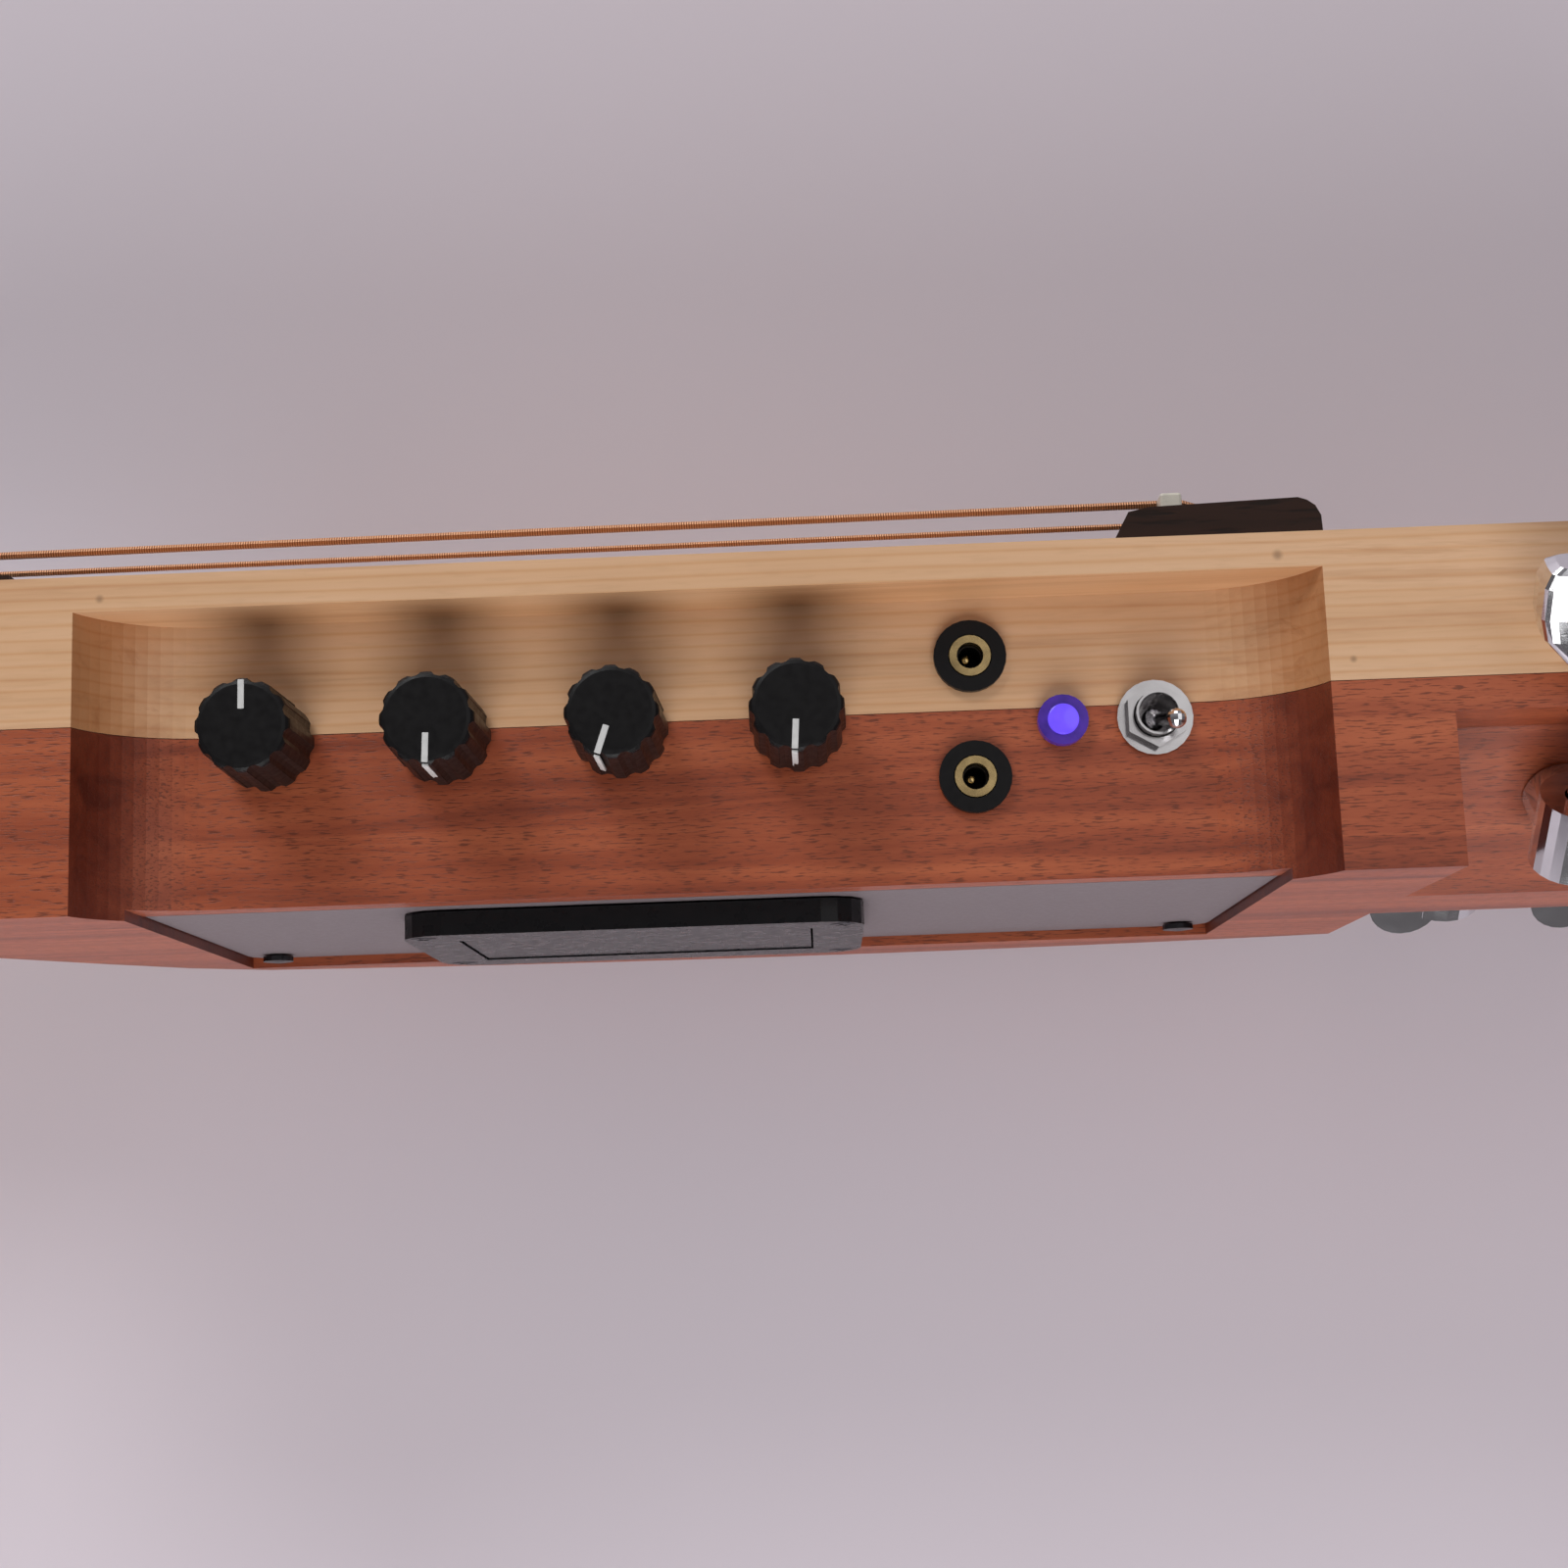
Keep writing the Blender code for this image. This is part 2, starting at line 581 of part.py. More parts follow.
def make_strings():
    z_nut = BOARD_TOP + FRET_HEIGHT + NUT_ACTION + STRING_CLEAR
    least = 1.0
    for k in range(6):
        radius = STRING_RADII[k]
        anchor = along(-SCALE) - NUT_LENGTH - 0.008
        enter, leave = string_hole_ends(k)
        side, foot, out, up = tuner_frame(k if k < 3 else 8 - k)
        wrap = POST_RADIUS + radius + STRING_CLEAR
        row = min(k, 5 - k)
        middle = foot - out * (0.0165 + row * 0.0015)
        across = Vector((1, 0, 0))
        climb = out * (2 * radius + WINDING_GAP) / (2 * math.pi)
        angles = [2 * math.pi * i / 24 for i in range(24 * WINDING_TURNS + 1)]
        post = [middle + across * math.sin(a) * wrap + up * math.cos(a) * wrap - climb * a for a in angles]
        over = TOP_Z + STRING_SEAT + STRING_CLEAR + radius
        start = along(COMPENSATION)
        points = [Vector((anchor, string_y(k, NUT_SPREAD), z_nut + STRING_RADII[0])),
                  Vector((along(-SCALE) - NUT_LENGTH, string_y(k, NUT_SPREAD), z_nut + STRING_RADII[0])),
                  Vector((along(-SCALE), string_y(k, NUT_SPREAD), z_nut + STRING_RADII[0])),
                  Vector((start - SADDLE_THICKNESS / 2, string_y(k, SADDLE_SPREAD), over)),
                  Vector((start + SADDLE_THICKNESS / 2 + 0.0004, string_y(k, SADDLE_SPREAD), over)),
                  enter, leave + (leave - enter).normalized() * 0.001,
                  post[0] - Vector((0.004, 0, 0)), *post]
        tube("string_%d" % (6 - k), points, radius, BRONZE if k < 4 else STEEL)
        for i in range(len(post) - 24):
            least = min(least, (post[i] - post[i + 24]).length - 2 * radius)
    print("least gap between turns of a winding: %.2f mm" % (least * 1000))


def make_knob(k, deep):
    """A fluted knob with its shaft, and the pot that the shaft turns in."""
    rel = KNOB_FIRST + k * KNOB_PITCH
    x, z = along(rel), BACK_Z + KNOB_AXIS_HEIGHT
    outer = BAY_FLOOR_Y - SEAT_GAP
    knob = rod("knob_%d" % (k + 1), (0, outer - 0.0003, 0), (0, outer - KNOB_HEIGHT, 0), KNOB_RADIUS, BLACK,
               False, 48, KNOB_RADIUS * 0.95)
    bevel(knob, 0.0009, 3, 60)
    for n in range(FLUTE_COUNT):
        a = math.radians(360 / FLUTE_COUNT * (n + 0.5))
        way = Vector((math.sin(a), 0, math.cos(a)))
        near = way * (KNOB_RADIUS + FLUTE_RADIUS - FLUTE_DEPTH)
        far = way * (KNOB_RADIUS * 0.95 + FLUTE_RADIUS - FLUTE_DEPTH)
        flute = rod("flute_%d_%d" % (k, n), (near.x, outer + 0.002, near.z),
                    (far.x, outer - KNOB_HEIGHT - 0.002, far.z), FLUTE_RADIUS, None, True, 12)
        flute.location = (x, 0, z)
        cut(knob, flute)
    knob.location = (x, 0, z)
    shaft = floor_rod("shaft_%d" % k, rel, KNOB_AXIS_HEIGHT, SHAFT_RADIUS, outer - 0.004, WALL_Y + 0.003, None, True)
    fuse(knob, shaft)
    pot = box("pot_%d" % (k + 1), (x - 0.0048, WALL_Y + SEAT_GAP, z - 0.006), (x + 0.0048, deep, z + 0.005), STEEL)
    cut(pot, floor_rod("pot_cutter_%d" % k, rel, KNOB_AXIS_HEIGHT, SHAFT_RADIUS + SHAFT_CLEAR, WALL_Y - 0.002,
                       WALL_Y + 0.0045, None, True))


def make_controls():
    z = BACK_Z + CONTROL_HEIGHT
    deep = WALL_Y + 0.0065
    for k in range(KNOB_COUNT):
        make_knob(k, deep)
    for k, height in enumerate(JACK_HEIGHTS):
        jack = box("jack_%d" % (k + 1), (along(JACK_X) - 0.004, WALL_Y + SEAT_GAP, BACK_Z + height - 0.004),
                   (along(JACK_X) + 0.004, deep, BACK_Z + height + 0.004), BRASS)
        fuse(jack, floor_rod("bushing_%d" % k, JACK_X, height, JACK_BUSHING, BAY_FLOOR_Y - 0.0014,
                             WALL_Y + 0.003, None, True, 24))
        cut(jack, floor_rod("bore_cutter_%d" % k, JACK_X, height, JACK_BORE, BAY_FLOOR_Y - 0.01,
                            WALL_Y + 0.004, None, True, 20))
        ring = floor_rod("jack_washer_%d" % (k + 1), JACK_X, height, JACK_WASHER, BAY_FLOOR_Y - SEAT_GAP - 0.001,
                         BAY_FLOOR_Y - SEAT_GAP, BLACK, False, 28)
        cut(ring, floor_rod("washer_cutter_%d" % k, JACK_X, height, JACK_BUSHING + SEAT_GAP / 2,
                            BAY_FLOOR_Y - 0.01, WALL_Y, None, True, 24))
    led = floor_rod("power_led", LED_X, CONTROL_HEIGHT, LED_RADIUS, BAY_FLOOR_Y - SEAT_GAP - 0.0016,
                    BAY_FLOOR_Y - SEAT_GAP, LENS, False, 24)
    fuse(led, floor_rod("led_stem", LED_X, CONTROL_HEIGHT, LED_STEM, BAY_FLOOR_Y - 0.001, deep, None, True))
    x = along(SWITCH_X)
    switch = box("toggle_switch", (x - 0.0056, WALL_Y + SEAT_GAP, z - 0.004),
                 (x + 0.0056, WALL_Y + 0.0085, z + 0.004), STEEL)
    fuse(switch, floor_rod("switch_bushing", SWITCH_X, CONTROL_HEIGHT, SWITCH_BUSHING, BAY_FLOOR_Y - 0.0045,
                           WALL_Y + 0.002, None, True))
    cut(switch, rod("switch_mouth", (x, BAY_FLOOR_Y - 0.0055, z), (x, BAY_FLOOR_Y + 0.006, z), 0.0027,
                    None, True, 24, 0.0025))
    nut = floor_rod("toggle_nut", SWITCH_X, CONTROL_HEIGHT, NUT_FLATS / math.sqrt(3), BAY_FLOOR_Y - SEAT_GAP - 0.0025,
                    BAY_FLOOR_Y - SEAT_GAP, CHROME, False, 6)
    fuse(nut, floor_rod("nut_washer", SWITCH_X, CONTROL_HEIGHT, 0.0051, BAY_FLOOR_Y - SEAT_GAP - 0.0007,
                        BAY_FLOOR_Y - SEAT_GAP, None, True, 24))
    cut(nut, floor_rod("nut_cutter", SWITCH_X, CONTROL_HEIGHT, SWITCH_BUSHING + SEAT_GAP / 2,
                       BAY_FLOOR_Y - 0.01, WALL_Y, None, True, 20))
    lean = math.radians(SWITCH_LEAN)
    pivot = Vector((x, BAY_FLOOR_Y + 0.0010, z))
    way = Vector(SWITCH_SIDE).normalized() * math.sin(lean) - Vector((0, 1, 0)) * math.cos(lean)
    lever = rod("toggle_lever", pivot + way * 0.0005, pivot + way * LEVER_LENGTH, 0.0007, CHROME, False, 16, 0.0012)
    for label, at, radius in (("ball", pivot, 0.0016), ("tip", pivot + way * LEVER_LENGTH, 0.00135)):
        ball = bmesh.new()
        bmesh.ops.create_uvsphere(ball, u_segments=16, v_segments=10, radius=radius)
        bmesh.ops.translate(ball, vec=at, verts=ball.verts)
        fuse(lever, from_bmesh("lever_" + label, ball, None, True))
    box("preamp_board", (along(KNOB_FIRST) - 0.006, deep + SEAT_GAP, BACK_Z + 0.009),
        (along(KNOB_FIRST) - 0.006 + BOARD_LENGTH, deep + SEAT_GAP + PCB_THICKNESS, BACK_Z + 0.0365), GREEN_BOARD)


def make_back():
    x0, x1 = along(PLATE_START), along(PLATE_END)
    y0, y1 = PLATE_NEAR_Y, PLATE_FAR_Y
    low, high = BACK_Z + PLATE_RECESS, BACK_Z + PLATE_RECESS + PLATE_THICKNESS - SEAT_GAP
    corner = PLATE_CORNER
    outline = [(x0, y0), (x1, y0)]
    outline += arc(x1 - corner, y1 - corner, corner, 0, 90, 4)
    outline += arc(x0 + corner, y1 - corner, corner, 90, 180, 4)
    plate = plank("back_plate", outline, low, high, GREY_PLATE)
    bx, by = along(BOX_MIDDLE), BOX_CENTRE_Y
    tray_l, tray_w = TRAY_LENGTH / 2, TRAY_WIDTH / 2
    cut(plate, box("tray_cutter", (bx - tray_l - SEAT_GAP, by - tray_w - SEAT_GAP, 0),
                   (bx + tray_l + SEAT_GAP, by + tray_w + SEAT_GAP, high + 0.01), None, True))
    for k, x in enumerate((x0 + CAVITY_RIM / 2, x1 - CAVITY_RIM / 2)):
        y = y1 - CAVITY_RIM / 2
        cut(plate, rod("plate_screw_cutter_%d" % k, (x, y, 0), (x, y, high + 0.01), 0.0015, None, True, 14))
        head = [(0, low - SEAT_GAP), (0.0024, low - SEAT_GAP), (0.0024, low - 0.0011), (0, low - 0.0014)]
        turned("plate_screw_%d" % (k + 1), head, (x, y, 0), (0, 0, 1), STEEL, 14)
    half_l, half_w, r = BOX_LENGTH / 2, BOX_WIDTH / 2, 0.006
    rim = []
    for cx, cy, a in ((1, -1, -90), (1, 1, 0), (-1, 1, 90), (-1, -1, 180)):
        rim += arc(bx + cx * (half_l - r), by + cy * (half_w - r), r, a, a + 90, 4)
    holder = plank("battery_box", rim, 0.0, low - SEAT_GAP, BLACK)
    fuse(holder, box("tray", (bx - tray_l, by - tray_w, 0.001), (bx + tray_l, by + tray_w, TRAY_DEPTH), None, True))
    room_l, room_w = tray_l - TRAY_WALL, tray_w - TRAY_WALL
    cut(holder, box("tray_inside", (bx - room_l, by - room_w, DOOR_THICKNESS + 0.0006),
                    (bx + room_l, by + room_w, TRAY_DEPTH - TRAY_WALL), None, True))
    door_l, door_w = DOOR_LENGTH / 2, DOOR_WIDTH / 2
    cut(holder, box("door_cutter", (bx - door_l - SEAT_GAP, by - door_w - SEAT_GAP, -0.01),
                    (bx + door_l + SEAT_GAP, by + door_w + SEAT_GAP, 0.006), None, True))
    box("battery_door", (bx - door_l, by - door_w, 0.0002), (bx + door_l, by + door_w, DOOR_THICKNESS), BLACK)
    cell = box("battery", (bx - BATTERY[0] / 2, by - BATTERY[1] / 2, DOOR_THICKNESS + SEAT_GAP),
               (bx + BATTERY[0] / 2, by + BATTERY[1] / 2, DOOR_THICKNESS + SEAT_GAP + BATTERY[2]), BATTERY_SKIN)
    bevel(cell, 0.0015, 2)


def make_strap_button(name, centre, axis):
    profile = [(0, STRAP_LENGTH), (0.0062, 0.0096), (0.0066, 0.0086), (0.0036, 0.0064), (0.0033, 0.0030),
               (0.0058, 0.0), (0, 0.0)]
    turned(name, profile, centre, axis, CHROME, 18)


def make_tuner(index):
    side, foot, out, up = tuner_frame(index)
    across = Vector((1, 0, 0))
    number = index + 1
    lift = SEAT_GAP
    worm = foot + out * WORM_HEIGHT - across * WORM_OFFSET
    barrel_top = worm + up * (BARREL_LENGTH / 2)
    barrel_low = worm - up * (BARREL_LENGTH / 2)
    case = rod("tuner_case_%d" % number, foot + out * lift, foot + out * (WORM_HEIGHT + 0.0025), CASE_RADIUS,
               CHROME, False, 22)
    fuse(case, rod("tuner_foot_%d" % index, worm - out * (WORM_HEIGHT - lift), worm, BARREL_RADIUS - 0.0005,
                   None, True, 18))
    fuse(case, rod("barrel_%d" % index, barrel_low, barrel_top, BARREL_RADIUS, None, True, 24))
    cut(case, rod("gear_cutter_%d" % index, foot + out * (WORM_HEIGHT - 0.0018), foot + out * (WORM_HEIGHT + 0.0012),
                  GEAR_RADIUS + SEAT_GAP, None, True, 20))
    cut(case, rod("post_way_%d" % index, foot - out * 0.002, foot + out * WORM_HEIGHT, POST_RADIUS + SEAT_GAP,
                  None, True, 18))
    cut(case, rod("worm_way_%d" % index, barrel_low + up * 0.0012, barrel_top + up * 0.002, WORM_RADIUS + SEAT_GAP,
                  None, True, 16))
    post = rod("tuner_post_%d" % number, foot + out * (WORM_HEIGHT - 0.0005), foot - out * POST_REACH, POST_RADIUS,
               CHROME, False, 20)
    fuse(post, rod("gear_%d" % index, foot + out * (WORM_HEIGHT - 0.0015), foot + out * (WORM_HEIGHT + 0.0009),
                   GEAR_RADIUS, None, True, 24))
    button_low = worm + up * (BARREL_LENGTH / 2 + BUTTON_GAP)
    rings = []
    for t, wide, thick in BUTTON_FAN:
        centre = button_low + up * BUTTON_LENGTH * t
        ring = []
        for a in range(24):
            angle = 2 * math.pi * a / 24
            c, s = math.cos(angle), math.sin(angle)
            ring.append(centre + across * (BUTTON_WIDTH / 2 * wide) * math.copysign(abs(c) ** BUTTON_SQUARENESS, c)
                        + out * (BUTTON_THICKNESS / 2 * thick) * math.copysign(abs(s) ** BUTTON_SQUARENESS, s))
        rings.append(ring)
    button = loft("tuner_button_%d" % number, rings, CHROME)
    fuse(button, rod("button_shaft_%d" % index, barrel_low + up * 0.0016, button_low + up * 0.003, WORM_RADIUS,
                     None, True, 14))


def main():
    make_wood()
    make_fretboard()
    make_head()
    make_bridge()
    make_strings()
    make_controls()
    make_back()
    make_strap_button("strap_button_tail", (along(TAIL_LENGTH) + SEAT_GAP, 0, BACK_Z + 0.010), (1, 0, 0))
    make_strap_button("strap_button_horn", (along(BASS_HORN + 0.0205), -BASS_HALF - SEAT_GAP, BACK_Z + 0.022),
                      (0, -1, 0))
    for index in range(6):
        make_tuner(index)


main()
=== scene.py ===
# %% [markdown]
# # A headless electric guitar, seen from its bass side
# The solid model of the guitar is loaded first and stays as it is. The lesson then adds the small
# pieces that a player sees close up, paints every part with procedural materials, and lights the scene.

# %% Load the guitar
import bpy
import math
from mathutils import Matrix, Vector


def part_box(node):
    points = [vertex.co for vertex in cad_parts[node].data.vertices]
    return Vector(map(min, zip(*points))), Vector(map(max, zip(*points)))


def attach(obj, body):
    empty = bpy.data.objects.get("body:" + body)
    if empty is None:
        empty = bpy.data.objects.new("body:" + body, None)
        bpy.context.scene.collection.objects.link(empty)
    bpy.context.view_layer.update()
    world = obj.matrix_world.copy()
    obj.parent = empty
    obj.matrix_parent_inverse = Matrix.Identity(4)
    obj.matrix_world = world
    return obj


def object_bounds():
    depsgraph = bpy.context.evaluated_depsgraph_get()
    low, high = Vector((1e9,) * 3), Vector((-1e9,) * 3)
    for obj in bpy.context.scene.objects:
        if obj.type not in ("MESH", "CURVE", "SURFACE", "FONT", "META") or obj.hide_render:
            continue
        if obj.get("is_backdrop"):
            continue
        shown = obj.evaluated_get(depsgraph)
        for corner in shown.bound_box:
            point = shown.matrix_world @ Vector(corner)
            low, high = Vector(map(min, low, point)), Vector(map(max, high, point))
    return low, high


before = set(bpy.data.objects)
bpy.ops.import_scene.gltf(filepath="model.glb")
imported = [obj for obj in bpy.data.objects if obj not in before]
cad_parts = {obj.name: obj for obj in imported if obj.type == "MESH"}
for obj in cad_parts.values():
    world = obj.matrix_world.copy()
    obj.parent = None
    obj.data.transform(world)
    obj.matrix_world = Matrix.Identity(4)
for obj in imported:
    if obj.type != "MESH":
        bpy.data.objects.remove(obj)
cad_low, cad_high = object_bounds()
print("guitar box in mm:", [round(v * 1000, 1) for v in (*cad_low, *cad_high)])

# %% [markdown]
# ## Working by operators
# An operator acts on whatever is selected, so each step starts with nothing selected. A finished piece
# keeps its place in its mesh and its object at the origin, which is what applying the transform does.

# %% Helpers for single pieces


def nothing_selected():
    if bpy.context.mode != "OBJECT":
        bpy.ops.object.mode_set(mode="OBJECT")
    bpy.ops.object.select_all(action="DESELECT")


def edit_all():
    bpy.ops.object.mode_set(mode="EDIT")
    bpy.ops.mesh.select_all(action="SELECT")


def settle(piece, name, body, skin, smooth=40):
    """Names the piece, puts its place in its mesh, paints it and fixes it to a body of the guitar."""
    if bpy.context.mode != "OBJECT":
        bpy.ops.object.mode_set(mode="OBJECT")
    bpy.ops.object.transform_apply(location=True, rotation=True, scale=True)
    bpy.ops.object.shade_smooth_by_angle(angle=math.radians(smooth))
    piece.name = name
    piece.data.name = name
    piece.data.materials.clear()
    piece.data.materials.append(skin)
    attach(piece, body)
    return piece


def turn_to(piece, direction, place):
    """Points the piece's own Z along a direction and moves it to its place."""
    piece.rotation_mode = "QUATERNION"
    piece.rotation_quaternion = Vector((0, 0, 1)).rotation_difference(Vector(direction))
    piece.location = place


def box_of(node):
    low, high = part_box(node)
    return Vector(low), Vector(high), (Vector(low) + Vector(high)) / 2


print("bay side of the block at y =", round(box_of("body_block")[0].y * 1000, 1), "mm")

# %% [markdown]
# ## Helpers for materials
# A material is a small net of nodes. These helpers add a node, set the values that are the same all
# over on its sockets, and join it to the nodes before it.

# %% Node helpers


def add(tree, kind, links=None, **values):
    """Adds a node; values set its properties or sockets, links join sockets to other nodes' outputs."""
    node = tree.nodes.new(kind)
    for key, value in values.items():
        if hasattr(node, key):
            setattr(node, key, value)
        else:
            node.inputs[key.replace("_", " ")].default_value = value
    for key, source in (links or {}).items():
        tree.links.new(source, node.inputs[key])
    return node


def ramp(tree, source, *stops):
    node = tree.nodes.new("ShaderNodeValToRGB")
    tree.links.new(source, node.inputs["Fac"])
    while len(node.color_ramp.elements) < len(stops):
        node.color_ramp.elements.new(0.5)
    for element, (position, colour) in zip(node.color_ramp.elements, stops):
        element.position = position
        element.color = (*colour, 1.0) if len(colour) == 3 else colour
    return node.outputs["Color"]


def group_start(name, inputs, outputs):
    tree = bpy.data.node_groups.new(name, "ShaderNodeTree")
    for label, kind, value in inputs:
        tree.interface.new_socket(name=label, in_out="INPUT", socket_type=kind).default_value = value
    for label, kind in outputs:
        tree.interface.new_socket(name=label, in_out="OUTPUT", socket_type=kind)
    return tree, tree.nodes.new("NodeGroupInput"), tree.nodes.new("NodeGroupOutput")

# %% [markdown]
# ## Grain, as one shared effect
# Wood is drawn out along the tree, which here is along the strings. A noise that is stretched a hundred
# times along X gives the growth lines, and a finer one, less stretched, gives the short open pores.

# %% The grain group
GRAIN, grain_in, grain_out = group_start(
    "lengthwise_grain",
    [("Lines", "NodeSocketFloat", 60.0), ("Pores", "NodeSocketFloat", 900.0), ("Pore Amount", "NodeSocketFloat", 0.5)],
    [("Tone", "NodeSocketFloat"), ("Pore", "NodeSocketFloat"), ("Height", "NodeSocketFloat")])
place = add(GRAIN, "ShaderNodeTexCoord").outputs["Object"]
long_way = add(GRAIN, "ShaderNodeMapping", {"Vector": place})
long_way.inputs["Scale"].default_value = (0.045, 1.0, 1.0)
short_way = add(GRAIN, "ShaderNodeMapping", {"Vector": place})
short_way.inputs["Scale"].default_value = (0.11, 1.0, 1.0)
broad = add(GRAIN, "ShaderNodeTexNoise", {"Vector": long_way.outputs[0], "Scale": grain_in.outputs["Lines"]},
            Detail=6.0, Roughness=0.62, Distortion=0.6)
fine = add(GRAIN, "ShaderNodeTexNoise", {"Vector": short_way.outputs[0], "Scale": grain_in.outputs["Pores"]},
           Detail=2.0, Roughness=0.5)
dark = add(GRAIN, "ShaderNodeMapRange", {"Value": fine.outputs["Fac"]}, clamp=True)
dark.inputs["From Min"].default_value = 0.54
dark.inputs["From Max"].default_value = 0.65
pore = add(GRAIN, "ShaderNodeMath", {0: dark.outputs[0], 1: grain_in.outputs["Pore Amount"]}, operation="MULTIPLY")
height = add(GRAIN, "ShaderNodeMath", {0: broad.outputs["Fac"], 1: pore.outputs[0]}, operation="SUBTRACT")
GRAIN.links.new(broad.outputs["Fac"], grain_out.inputs["Tone"])
GRAIN.links.new(pore.outputs[0], grain_out.inputs["Pore"])
GRAIN.links.new(height.outputs[0], grain_out.inputs["Height"])

# %% [markdown]
# ## Handling marks, as a second shared effect
# Plated metal and moulded plastic are never quite even. Faint clouds change the gloss, and a fine
# drawn-out noise stands for the hairlines that a cloth leaves.

# %% The handling group
MARKS, marks_in, marks_out = group_start(
    "handling_marks",
    [("Scale", "NodeSocketFloat", 300.0), ("Gloss Low", "NodeSocketFloat", 0.1), ("Gloss High", "NodeSocketFloat", 0.2)],
    [("Cloud", "NodeSocketFloat"), ("Roughness", "NodeSocketFloat"), ("Height", "NodeSocketFloat")])
spot = add(MARKS, "ShaderNodeTexCoord").outputs["Object"]
cloud = add(MARKS, "ShaderNodeTexNoise", {"Vector": spot, "Scale": marks_in.outputs["Scale"]}, Detail=5.0)
drawn = add(MARKS, "ShaderNodeMapping", {"Vector": spot})
drawn.inputs["Scale"].default_value = (1.0, 1.0, 14.0)
hair = add(MARKS, "ShaderNodeTexNoise", {"Vector": drawn.outputs[0], "Scale": marks_in.outputs["Scale"]}, Detail=4.0)
gloss = add(MARKS, "ShaderNodeMapRange", {"Value": cloud.outputs["Fac"], "To Min": marks_in.outputs["Gloss Low"],
                                          "To Max": marks_in.outputs["Gloss High"]}, clamp=True)
gloss.inputs["From Min"].default_value = 0.3
gloss.inputs["From Max"].default_value = 0.7
MARKS.links.new(cloud.outputs["Fac"], marks_out.inputs["Cloud"])
MARKS.links.new(gloss.outputs[0], marks_out.inputs["Roughness"])
MARKS.links.new(hair.outputs["Fac"], marks_out.inputs["Height"])
print("shared effects:", [g.name for g in bpy.data.node_groups])

# %% [markdown]
# ## From effects to materials
# A wood takes the grain group and four tones of its own. A metal or plastic takes the handling group and
# one colour that drifts a little. Both end in one Principled shader, whose even values are typed on it.

# %% Materials from the two effects


def new_skin(name):
    skin = bpy.data.materials.new(name)
    skin.use_nodes = True
    return skin, skin.node_tree, skin.node_tree.nodes["Principled BSDF"]


def place_group(tree, group, **values):
    node = tree.nodes.new("ShaderNodeGroup")
    node.node_tree = group
    for key, value in values.items():
        node.inputs[key.replace("_", " ")].default_value = value
    return node


def bump(tree, shader, height, strength, distance):
    node = add(tree, "ShaderNodeBump", {"Height": height}, Strength=strength, Distance=distance)
    tree.links.new(node.outputs["Normal"], shader.inputs["Normal"])


def end_grain(tree, colour, dark):
    """Faces that cut across the grain drink more lacquer and turn darker."""
    facing = add(tree, "ShaderNodeSeparateXYZ", {0: add(tree, "ShaderNodeTexCoord").outputs["Normal"]})
    size = add(tree, "ShaderNodeMath", {0: facing.outputs["X"]}, operation="ABSOLUTE")
    share = add(tree, "ShaderNodeMapRange", {"Value": size.outputs[0]}, clamp=True, interpolation_type="SMOOTHSTEP")
    share.inputs["From Min"].default_value = 0.1
    share.inputs["From Max"].default_value = 0.85
    mixed = add(tree, "ShaderNodeMix", data_type="RGBA", blend_type="MULTIPLY")
    tree.links.new(share.outputs[0], mixed.inputs[0])
    tree.links.new(colour, mixed.inputs[6])
    mixed.inputs[7].default_value = (*dark, 1.0)
    return mixed.outputs[2]


def wood(name, tones, pore_colour, lines, pores, pore_amount, gloss_value, depth=0.00006, ends=(0.6, 0.5, 0.45)):
    skin, tree, shader = new_skin(name)
    grain = place_group(tree, GRAIN, Lines=lines, Pores=pores, Pore_Amount=pore_amount)
    colour = end_grain(tree, ramp(tree, grain.outputs["Tone"], *tones), ends)
    mixed = add(tree, "ShaderNodeMix", data_type="RGBA")
    tree.links.new(grain.outputs["Pore"], mixed.inputs[0])
    tree.links.new(colour, mixed.inputs[6])
    mixed.inputs[7].default_value = (*pore_colour, 1.0)
    tree.links.new(mixed.outputs[2], shader.inputs["Base Color"])
    shader.inputs["Roughness"].default_value = gloss_value
    bump(tree, shader, grain.outputs["Height"], 0.35, depth)
    return skin, tree, shader, mixed


def finish_of(name, colour, low, high, scale=300.0, metallic=0.0, shift=0.08, depth=0.00002):
    skin, tree, shader = new_skin(name)
    marks = place_group(tree, MARKS, Scale=scale, Gloss_Low=low, Gloss_High=high)
    darker = tuple(c * (1 - shift) for c in colour)
    lighter = tuple(min(1.0, c * (1 + shift)) for c in colour)
    tree.links.new(ramp(tree, marks.outputs["Cloud"], (0.3, darker), (0.7, lighter)), shader.inputs["Base Color"])
    tree.links.new(marks.outputs["Roughness"], shader.inputs["Roughness"])
    shader.inputs["Metallic"].default_value = metallic
    bump(tree, shader, marks.outputs["Height"], 0.15, depth)
    return skin

# %% [markdown]
# ## The woods
# The top and neck are pale cream maple with faint lines. A few small knots darken the bass side, and
# each is a soft ball of darker colour at its own place. The block is red-brown with short dark pores.

# %% Woods
MAPLE, maple_tree, maple_shader, maple_mix = wood(
    "maple_lacquered", 
    [(0.30, (0.55, 0.295, 0.155)), (0.46, (0.68, 0.41, 0.228)), (0.60, (0.72, 0.45, 0.265)),
     (0.66, (0.63, 0.365, 0.200)), (0.74, (0.70, 0.435, 0.250))],
    (0.44, 0.24, 0.12), 170.0, 1700.0, 0.10, 0.40, ends=(0.72, 0.55, 0.42))
KNOTS = ((0.1324, -0.044, 0.0440, 0.00035), (0.2873, -0.044, 0.0440, 0.00045), (0.2962, -0.044, 0.0297, 0.0003))


